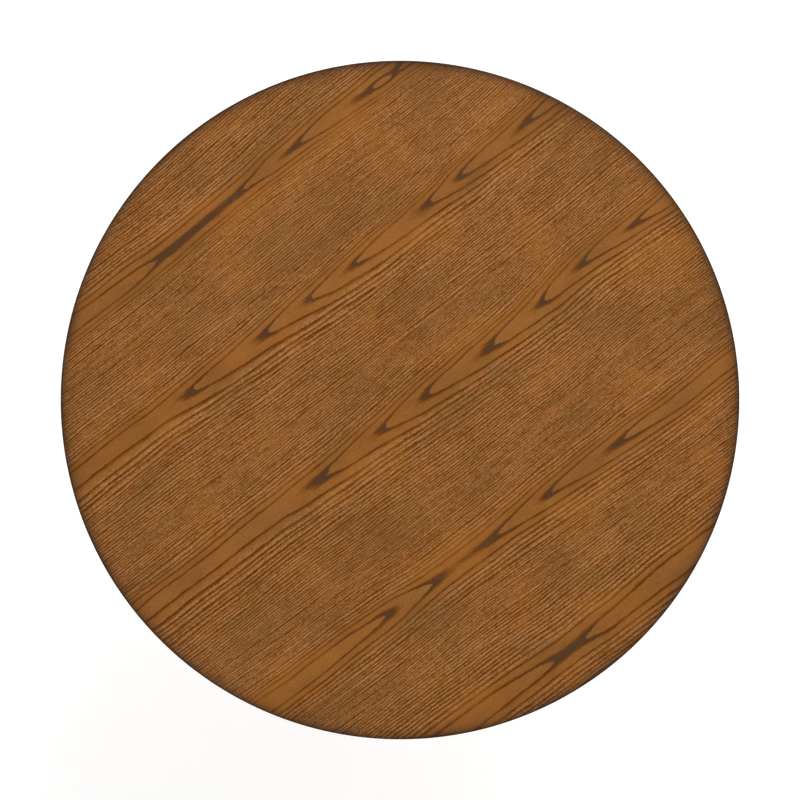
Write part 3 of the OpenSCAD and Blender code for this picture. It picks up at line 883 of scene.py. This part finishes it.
def build_lipping(finish):
    """Eight bent lengths of dark oak round the core, their outer edges eased."""
    ease = (TOP_R - FACE_R) * 0.98
    foot, head = UNDER_Z + VENEER_T, TOP_Z - VENEER_T
    corners = [(CORE_R, foot, 0), (FACE_R, foot, 0), (FACE_R, UNDER_Z, 0), (TOP_R, UNDER_Z, ease),
               (TOP_R, TOP_Z, ease), (FACE_R, TOP_Z, 0), (FACE_R, head, 0), (CORE_R, head, 0)]
    section = filled_in(eased(corners, steps=6), 7 * MM)
    count = 8
    gap = 0.1 * MM / TOP_R
    solid = Solid()
    for k in range(count):
        spun(solid, section, FULL_TURN * k / count, FULL_TURN / count - gap, 64, round_grain(0.9 * k))
    dark = solid_oak(finish, "dark_oak_edge", tuple(finish.edge), 0.88, 0.3)
    solid.piece("edge_lipping_bent", dark, replaces=["edge_lipping"])


def build_apron(number, sizes, material):
    """A quarter of the apron: curved board, quirked bead at its foot, groove for the clips inside."""
    inner_r, outer_r = apron_inner_r(), apron_face_r()
    bead = APRON_OUT_R - outer_r
    bead_top = APRON_Z + 2 * bead
    ease, quirk_r = sizes.apron_arris, outer_r - sizes.quirk
    groove_top, groove_foot, groove_deep = CLIP_GROOVE
    groove_top, groove_foot = UNDER_Z - groove_top, UNDER_Z - groove_foot
    groove_r = inner_r + groove_deep
    outline = [(inner_r, APRON_Z + ease)] + arc((inner_r + ease, APRON_Z + ease), ease, 180, 270, 4)
    outline += arc((outer_r, APRON_Z + bead), bead, -90, 78, 16)
    outline += [(quirk_r, bead_top + 0.1 * MM), (quirk_r, bead_top + 1.4 * MM),
                (outer_r, bead_top + 1.8 * MM), (outer_r, UNDER_Z), (inner_r, UNDER_Z),
                (inner_r, groove_top), (groove_r, groove_top), (groove_r, groove_foot),
                (inner_r, groove_foot)]
    section = filled_in(outline, 6 * MM)
    quarter = FULL_TURN / 4
    gap = 0.12 * MM / outer_r
    solid = Solid()
    # The edge marks wear the arrises and lay painted shade in the quirk and the clip groove.
    spun(solid, section, (number - 1) * quarter - quarter / 2 + gap, quarter - 2 * gap, 120,
         round_grain(0.37 * number), edge_marks(section, 2.2 * MM))
    solid.piece(f"apron_length_{number}", material, replaces=[f"apron_{number}"])


def apron_inner_r():
    """The apron's inner radius: the nearest of its points to the column."""
    return min(math.hypot(v.co.x, v.co.y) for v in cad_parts["apron_1"].data.vertices)


def apron_face_r():
    """The radius of the apron's plain outer face, taken from its points under the top."""
    return max(math.hypot(v.co.x, v.co.y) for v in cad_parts["apron_1"].data.vertices
               if v.co.z > UNDER_Z - 0.1 * MM)


def build_capital(material):
    """The turned disc under the beams."""
    step = 4 * MM
    round_r = (BEAM_Z - CAPITAL_Z - step) / 2
    bore, neck = TENON_R + 0.1 * MM, CAPITAL_R - step
    outline = [(bore, CAPITAL_Z)]
    outline += arc((CAPITAL_R - round_r, CAPITAL_Z + round_r), round_r, -90, 82, 18)
    outline += [(neck - 1.2 * MM, BEAM_Z - step + 0.2 * MM), (neck, BEAM_Z - step + 1 * MM),
                (neck, BEAM_Z - 1 * MM), (neck - 1 * MM, BEAM_Z), (bore, BEAM_Z)]
    section = filled_in(outline, 5 * MM)
    solid = Solid()

    def grain(radius, height, angle):
        return (radius * math.cos(angle), radius * math.sin(angle), height - BEAM_Z)

    # The edge marks wear the arrises and lay painted shade where the neck steps in.
    spun(solid, section, 0.0, FULL_TURN, 160, grain, edge_marks(section, 2.2 * MM))
    solid.piece("turned_capital", material, replaces=["capital"])


def vase_outline(block_top):
    """The turned part's outline, upward from the block: cove, bead, vase, neck, bead, shoulder."""
    collar = BLOCK_R - 4 * MM
    waist, wrist, shoulder = WAIST_R, WAIST_R - 4 * MM, WAIST_R + 4 * MM
    belly = column_reach(block_top + 60 * MM, CAPITAL_Z - 150 * MM)
    low_bead, high_bead = block_top + 20 * MM, CAPITAL_Z - 27 * MM
    foot = low_bead + 2 * BEAD_R + 4 * MM
    neck_z = high_bead - 35 * MM
    belly_z = foot + 0.36 * (neck_z - foot)
    below, above = belly_z - foot, neck_z - belly_z
    points = [(collar, block_top), (collar, block_top + 8 * MM)]
    points += bezier(points[-1], (collar - 6 * MM, block_top + 9 * MM),
                     (waist + 2 * MM, block_top + 13 * MM), (waist + 1 * MM, low_bead), 10)
    points += arc((waist, low_bead + BEAD_R), BEAD_R, -84, 84, 24)
    points += [(waist, foot - 4 * MM), (wrist, foot - 4 * MM), (wrist, foot)]
    points += bezier(points[-1], (wrist, foot + 0.36 * below), (belly, belly_z - 0.52 * below),
                     (belly, belly_z), 32)
    points += bezier(points[-1], (belly, belly_z + 0.46 * above), (NECK_R, neck_z - 0.43 * above),
                     (NECK_R, neck_z), 36)
    points += bezier(points[-1], (NECK_R, neck_z + 18 * MM), (wrist, neck_z + 28 * MM),
                     (waist + 2 * MM, neck_z + 31 * MM), 12)
    points += [(waist + 2 * MM, high_bead), (waist - 1 * MM, high_bead)]
    points += arc((waist - 1 * MM, high_bead + BEAD_R), BEAD_R, -84, 84, 24)
    points += [(shoulder, CAPITAL_Z - 7 * MM), (shoulder, CAPITAL_Z)]
    return points


def column_reach(bottom, top):
    """The column's largest radius between two heights, from its frame node."""
    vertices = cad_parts["column"].data.vertices
    return max(math.hypot(v.co.x, v.co.y) for v in vertices if bottom < v.co.z < top)


def block_angles(per_face=10):
    """Angles round the column, crowded near the block's eight upright edges."""
    angles = []
    half = FULL_TURN / 16
    for face in range(8):
        middle = face * FULL_TURN / 8
        for k in range(per_face * 2):
            t = -1 + k / per_face
            angles.append(middle + half * math.copysign(1 - (1 - abs(t)) ** 1.8, t))
    return angles


def eight_sided(flat, arris=0.0):
    """The reach of an eight-sided ring, flat to the middle of each face, its corners eased by arris."""
    eighth = FULL_TURN / 8
    corner = flat / math.cos(eighth / 2) - arris * 0.45

    def reach(angle):
        off = abs((angle + eighth / 2) % eighth - eighth / 2)
        return min(flat / math.cos(off), corner)
    return reach


def build_column(sizes, material):
    """The turned column with its eight-sided block, hollow inside and bored for the tie rod."""
    block_top = LEG_TOP_Z + BLOCK_RISE
    chamfer, arris = BLOCK_CHAMFER, sizes.block_arris
    tenon_top, hollow_top = BEAM_Z - 0.5 * MM, block_top - 15 * MM
    hollow = eight_sided(HOLLOW_R)
    face = eight_sided(BLOCK_R, arris)
    face_low = BASE_Z + 1 * MM
    rows = [(BASE_Z, eight_sided(BLOCK_R - 1 * MM, arris), (0.7, 0.0)), (face_low, face, (0.3, 0.0))]
    rise = block_top - chamfer - face_low
    rows += [(face_low + rise * k / 24, face, PLAIN) for k in range(1, 25)]
    for k in range(1, 7):
        turn = k / 6 * math.pi / 2
        shrink = chamfer * (1 - math.cos(turn))
        height = block_top - chamfer + chamfer * math.sin(turn)
        rows.append((height, eight_sided(BLOCK_R - shrink, arris), (0.5, 0.0)))
    outline = filled_in(vase_outline(block_top), 5 * MM, closed=False)
    # Painted shade in the crease where the turned part leaves the block.
    rows.append((block_top, level(outline[0][0] + 0.4 * MM), (0.0, 0.8)))
    for (radius, height), mark in zip(outline, edge_marks(outline, 3 * MM, closed=False)):
        rows.append((height, level(radius), mark))
    # Painted shade round the top of the hollow inside.
    rows += [(CAPITAL_Z, level(TENON_R), PLAIN), (tenon_top, level(TENON_R), PLAIN),
             (tenon_top, level(ROD_BORE), PLAIN), (hollow_top, level(ROD_BORE), PLAIN),
             (hollow_top, hollow, (0.0, 0.5)), (BASE_Z, hollow, PLAIN)]
    angles = block_angles()
    solid = Solid()
    rings = []
    for height, reach, mark in rows:
        row = []
        for angle in angles:
            x, y = reach(angle) * math.cos(angle), reach(angle) * math.sin(angle)
            row.append(solid.add((x, y, height), (height, x + 6 * MM, y - 10 * MM), mark))
        rings.append(row)
    solid.skin(rings, ends=False)
    solid.piece("turned_column", material, replaces=["column"])


def leg_outline():
    """A leg's side outline, as (distance from the column's axis, height), anticlockwise from the
    block's foot."""
    joint, sole = BLOCK_R, FOOT_Z + FLANGE_PROUD
    heel, flat = 58, 42

    def out(x, z):
        """A point x mm out from the block and z mm above the base."""
        return (joint + x * MM, BASE_Z + z * MM)

    def back(x, z):
        """A point x mm back from the leg's reach and z mm above its sole."""
        return (foot_reach() - x * MM, sole + z * MM)

    points = [out(10 * k, 0) for k in range(11)]
    points += bezier(points[-1], out(160, 0), (back(92, 0)[0], BASE_Z - 35 * MM), back(66, 10), 28)
    points += bezier(points[-1], back(64, 5), back(62, 0), back(heel, 0), 8)
    points += [back(heel - flat * k / 6, 0) for k in range(1, 7)]
    points += bezier(points[-1], back(-2, 0), back(-5, 26), back(11, 37), 20)
    points += bezier(points[-1], back(37, 58), back(77, 76), back(120, 112), 22)
    points += bezier(points[-1], back(167, 151), (joint + 118 * MM, LEG_TOP_Z), (joint, LEG_TOP_Z), 32)
    points += [(joint, LEG_TOP_Z + (BASE_Z - LEG_TOP_Z) * k / 24) for k in range(1, 24)]
    return points


def foot_reach():
    """The reach that the leg's outline is drawn from."""
    return GLIDE_R + GLIDE_IN


def inset(points, distance):
    """A leg's outline moved inward by distance, by less near the sole. Points at the joint stay on
    it."""
    count = len(points)
    moved = []
    for i, (x, y) in enumerate(points):
        if abs(x - BLOCK_R) < 1e-6:
            corner = 1.0 if abs(y - BASE_Z) < 1e-6 else -1.0 if abs(y - LEG_TOP_Z) < 1e-6 else 0.0
            moved.append((x, y + corner * distance))
            continue
        along = (Vector(points[(i + 1) % count]) - Vector(points[i - 1])).normalized()
        eased_in = distance * (0.25 + 0.75 * min(1.0, (y - FOOT_Z) / (25 * MM)))
        moved.append((x - along.y * eased_in, y + along.x * eased_in))
    return moved


def build_leg(number, sizes, material):
    """A swept leg, sawn from thick board, with its long edges rounded over."""
    outline = leg_outline()
    half = (high("leg_1")[1] - low("leg_1")[1]) / 2
    arris = sizes.leg_arris
    turn = FULL_TURN / 4 * (number - 1)
    cos_t, sin_t = math.cos(turn), math.sin(turn)
    slope = math.radians(-34)
    cos_s, sin_s = math.cos(slope), math.sin(slope)
    solid = Solid()

    def row(points, side, worn):
        result = []
        for x, z in points:
            near = min(1.0, max(0.0, (x - BLOCK_R) / (30 * MM)))
            grain = (x * cos_s + z * sin_s + 0.23 * number, z * cos_s - x * sin_s - 0.25, side + 9 * MM)
            point = (x * cos_t - side * sin_t, x * sin_t + side * cos_t, z)
            result.append(solid.add(point, grain, (worn * near, 0.0)))
        return result

    edges = []
    steps = 6
    for k in range(steps + 1):
        angle = math.pi / 2 * k / steps
        moved = inset(outline, arris * (1 - math.sin(angle)))
        edges.append((moved, half - arris + arris * math.cos(angle), 0.6 * math.sin(2 * angle)))
    rows = [row(points, -reach, worn) for points, reach, worn in edges]
    rows.append(row(outline, 0.0, 0.0))
    rows += [row(points, reach, worn) for points, reach, worn in reversed(edges)]
    solid.skin(rows)
    solid.piece(f"swept_leg_{number}", material, replaces=[f"leg_{number}"])


def build_glide(number, sizes, nylon, steel):
    """A moulded pad, and the threaded stem that turns in it."""
    pad, stem = f"glide_pad_{number}", f"glide_stem_{number}"
    centre = [(a + b) / 2 for a, b in zip(low(pad), high(pad))]
    pad_r = (high(pad)[0] - low(pad)[0]) / 2
    pad_top = high(pad)[2]
    stem_low, stem_high = low(stem)[2], high(stem)[2]
    socket_r, socket_z, socket_top = 6.3 * MM, stem_low - 0.3 * MM, stem_low + 3.3 * MM
    mouth = STEM_R + 0.3 * MM
    lip = 2 * MM
    outline = [(PIN, 0.0), (pad_r - 1.2 * lip, 0.0)] + arc((pad_r - lip, lip), lip, -70, 78, 12)
    outline += [(12.6 * MM, 4.2 * MM), (11.9 * MM, 5 * MM), (10.6 * MM, pad_top - 0.6 * MM),
                (10.0 * MM, pad_top), (mouth + 0.5 * MM, pad_top), (mouth, pad_top - 0.5 * MM),
                (mouth, socket_top), (socket_r, socket_top), (socket_r, socket_z), (PIN, socket_z)]
    solid = Solid()
    spun_at(solid, centre, filled_in(outline, 2.5 * MM, closed=False), 64)
    solid.piece(f"moulded_pad_{number}", nylon, f"glide_{number}_pad", [pad])

    hex_low, hex_high = pad_top + 0.3 * MM, FOOT_Z - 0.3 * MM
    flange = 0.6 * MM
    foot = [(PIN, stem_low)] + arc((STEM_R + 1.4 * MM, stem_low + flange), flange, -90, 90, 6)
    foot += [(STEM_R, stem_low + 3 * MM), (STEM_R, hex_low + 0.1 * MM), (PIN, hex_low + 0.1 * MM)]
    solid = Solid()
    spun_at(solid, centre, foot, 48)
    hexagon(solid, centre, STEM_HEX, hex_low, hex_high, 0.0, 0.9 * MM)
    thread(solid, centre, STEM_R, sizes.glide_pitch, hex_high - 0.1 * MM, stem_high, THREAD_DEPTH)
    solid.piece(f"threaded_stem_{number}", steel, f"glide_{number}_stem", [stem])


def spun_at(solid, centre, outline, sides):
    """Turns an open outline of (radius, height) points round an upright line, and closes its ends."""
    solid.skin([ring(solid, centre, height, sides, level(radius)) for radius, height in outline])


def build_tie_rod(sizes, steel):
    """The rod with its two threaded ends, and its two nuts with chamfered corners."""
    bottom, top = low("tie_rod")[2], high("tie_rod")[2]
    radius = (high("tie_rod")[0] - low("tie_rod")[0]) / 2
    shank, depth, lap = radius * 0.93, 0.8 * MM, 0.1 * MM
    foot_end, head_end = bottom + ROD_ENDS[0], top - ROD_ENDS[1]
    solid = Solid()
    thread(solid, AXIS, radius, sizes.rod_pitch, bottom, foot_end, depth)
    spun_at(solid, AXIS, [(shank, foot_end - lap), (shank, head_end + lap)], 28)
    thread(solid, AXIS, radius, sizes.rod_pitch, head_end, top, depth)
    solid.piece("threaded_tie_rod", steel, replaces=["tie_rod"])

    nut = "tie_rod_nuts"
    height = 1.6 * radius
    across = high(nut)[1] - low(nut)[1]
    solid = Solid()
    for start in (low(nut)[2], high(nut)[2] - height):
        hexagon(solid, AXIS, across, start, start + height, radius + 0.1 * MM, 1.4 * MM)
    solid.piece("chamfered_rod_nuts", steel, replaces=[nut])


# ---------- operators ----------

FINISHES = {}


def shared(name, make, *settings):
    """A finish that several pieces wear: made for the first of them, then kept."""
    if name not in FINISHES:
        FINISHES[name] = make(*settings)
    return FINISHES[name]


def stained():
    return shared("stained_oak", solid_oak, scene_settings()[0], "stained_oak")


def pale_blocks():
    return shared("beech_blocks", beech, "beech_blocks", math.radians(90))


def zinc():
    return shared("zinc_steel", zinc_steel)


class TableOperator:
    """What every step shares."""

    bl_options = {"REGISTER", "UNDO"}


# Each light's width and where it hangs.
LIGHTS = {"key": (2.6, (0.9, 3.0, 3.2)), "fill_left": (2.4, (-3.2, 0.6, 2.6)),
          "fill_right": (2.4, (3.0, -1.4, 2.4)), "fill_front": (2.8, (-0.8, -3.4, 2.6))}


class TABLE_OT_stage(TableOperator, Operator):
    """Lays the floor, hangs the soft lights and sets the camera straight above the top"""

    bl_idname = "round_table.stage"
    bl_label = "Studio"

    def execute(self, context):
        _, _, studio = scene_settings()
        scene = context.scene
        lay_floor(scene, studio)
        middle = Vector((0.0, 0.0, TOP_Z * 0.6))
        for name, (size, place) in LIGHTS.items():
            data = bpy.data.lights.new(name, "AREA")
            data.shape, data.size = "DISK", size
            data.energy = studio.key if name == "key" else studio.fill
            light = bpy.data.objects.new(name, data)
            light.location = place
            light.rotation_euler = (middle - Vector(place)).to_track_quat("-Z", "Y").to_euler()
            scene.collection.objects.link(light)

        world = bpy.data.worlds.new("studio")
        world.use_nodes = True
        background = world.node_tree.nodes["Background"]
        background.inputs["Color"].default_value = (1.0, 0.99, 0.975, 1.0)
        background.inputs["Strength"].default_value = studio.sky
        scene.world = world

        data = bpy.data.cameras.new("camera")
        data.lens, data.sensor_width = studio.lens, 36.0
        width = 2 * TOP_R / studio.span
        camera = bpy.data.objects.new("camera", data)
        camera.location = (0.0, 0.0, TOP_Z + width * studio.lens / data.sensor_width)
        data.clip_end = 100.0
        scene.collection.objects.link(camera)
        scene.camera = camera
        scene.view_settings.view_transform = "Standard"
        return {"FINISHED"}


class TABLE_OT_top(TableOperator, Operator):
    """Lays the five leaves of face veneer and bends the dark lipping round the core"""

    bl_idname = "round_table.top"
    bl_label = "Veneered top"

    def execute(self, context):
        finish, sizes, _ = scene_settings()
        for number in LEAVES:
            build_leaf(number, finish, sizes)
        build_lipping(finish)
        dress(core_board(), "top_core")
        dress(backing_oak(finish), "backing_veneer")
        return {"FINISHED"}


class TABLE_OT_apron(TableOperator, Operator):
    """Bends the four lengths of apron and finishes the blocks, clips and screws behind them"""

    bl_idname = "round_table.apron"
    bl_label = "Apron"

    def execute(self, context):
        _, sizes, _ = scene_settings()
        for number in QUARTERS:
            build_apron(number, sizes, stained())
        dress(pale_blocks(), "apron_blocks")
        dress(zinc(), "apron_block_screws", "apron_end_screws", "apron_clips", "clip_screws")
        return {"FINISHED"}


class TABLE_OT_head(TableOperator, Operator):
    """Finishes the crossed beams and turns the capital under them"""

    bl_idname = "round_table.head"
    bl_label = "Beams and capital"

    def execute(self, context):
        build_capital(stained())
        dress(beech("beech_along_x", 0.0), "lower_beam")
        dress(beech("beech_along_y", math.radians(90)), "upper_beam")
        dress(zinc(), "beam_screws", "capital_screws")
        return {"FINISHED"}


class TABLE_OT_column(TableOperator, Operator):
    """Turns the column and threads the tie rod through it"""

    bl_idname = "round_table.column"
    bl_label = "Column and tie rod"

    def execute(self, context):
        _, sizes, _ = scene_settings()
        build_column(sizes, stained())
        build_tie_rod(sizes, zinc())
        dress(zinc(), "tie_rod_washers")
        return {"FINISHED"}


class TABLE_OT_legs(TableOperator, Operator):
    """Shapes the four swept legs and finishes their dowels, bolts and plate"""

    bl_idname = "round_table.legs"
    bl_label = "Legs"

    def execute(self, context):
        _, sizes, _ = scene_settings()
        for number in QUARTERS:
            build_leg(number, sizes, stained())
        dress(pale_blocks(), "leg_dowels")
        dress(black_paint(), "base_plate")
        dress(zinc(), "hanger_bolts", "bolt_washers", "bolt_nuts", "base_plate_screws")
        return {"FINISHED"}


class TABLE_OT_glides(TableOperator, Operator):
    """Moulds the four pads and threads their stems"""

    bl_idname = "round_table.glides"
    bl_label = "Glides"

    def execute(self, context):
        _, sizes, _ = scene_settings()
        nylon = dark_nylon()
        for number in QUARTERS:
            build_glide(number, sizes, nylon, zinc())
        dress(zinc(), "glide_inserts")
        return {"FINISHED"}


STEPS = (TABLE_OT_stage, TABLE_OT_top, TABLE_OT_apron, TABLE_OT_head, TABLE_OT_column, TABLE_OT_legs,
         TABLE_OT_glides)


class TABLE_PT_steps(Panel):
    """Lists the table's steps in order."""

    bl_idname = "TABLE_PT_steps"
    bl_label = "Round table"
    bl_space_type = "VIEW_3D"
    bl_region_type = "UI"
    bl_category = "Round table"

    def draw(self, context):
        for step in STEPS:
            self.layout.operator(step.bl_idname)


CLASSES = (OakFinish, TableSizes, StudioSet, *STEPS, TABLE_PT_steps)


def register():
    for cls in CLASSES:
        bpy.utils.register_class(cls)
    bpy.types.Scene.table_oak = PointerProperty(type=OakFinish)
    bpy.types.Scene.table_sizes = PointerProperty(type=TableSizes)
    bpy.types.Scene.table_studio = PointerProperty(type=StudioSet)


def unregister():
    del bpy.types.Scene.table_studio
    del bpy.types.Scene.table_sizes
    del bpy.types.Scene.table_oak
    for cls in reversed(CLASSES):
        bpy.utils.unregister_class(cls)


def main():
    register()
    bpy.ops.round_table.stage()
    bpy.ops.round_table.top()
    bpy.ops.round_table.apron()
    bpy.ops.round_table.head()
    bpy.ops.round_table.column()
    bpy.ops.round_table.legs()
    bpy.ops.round_table.glides()


if __name__ == "__main__":
    main()
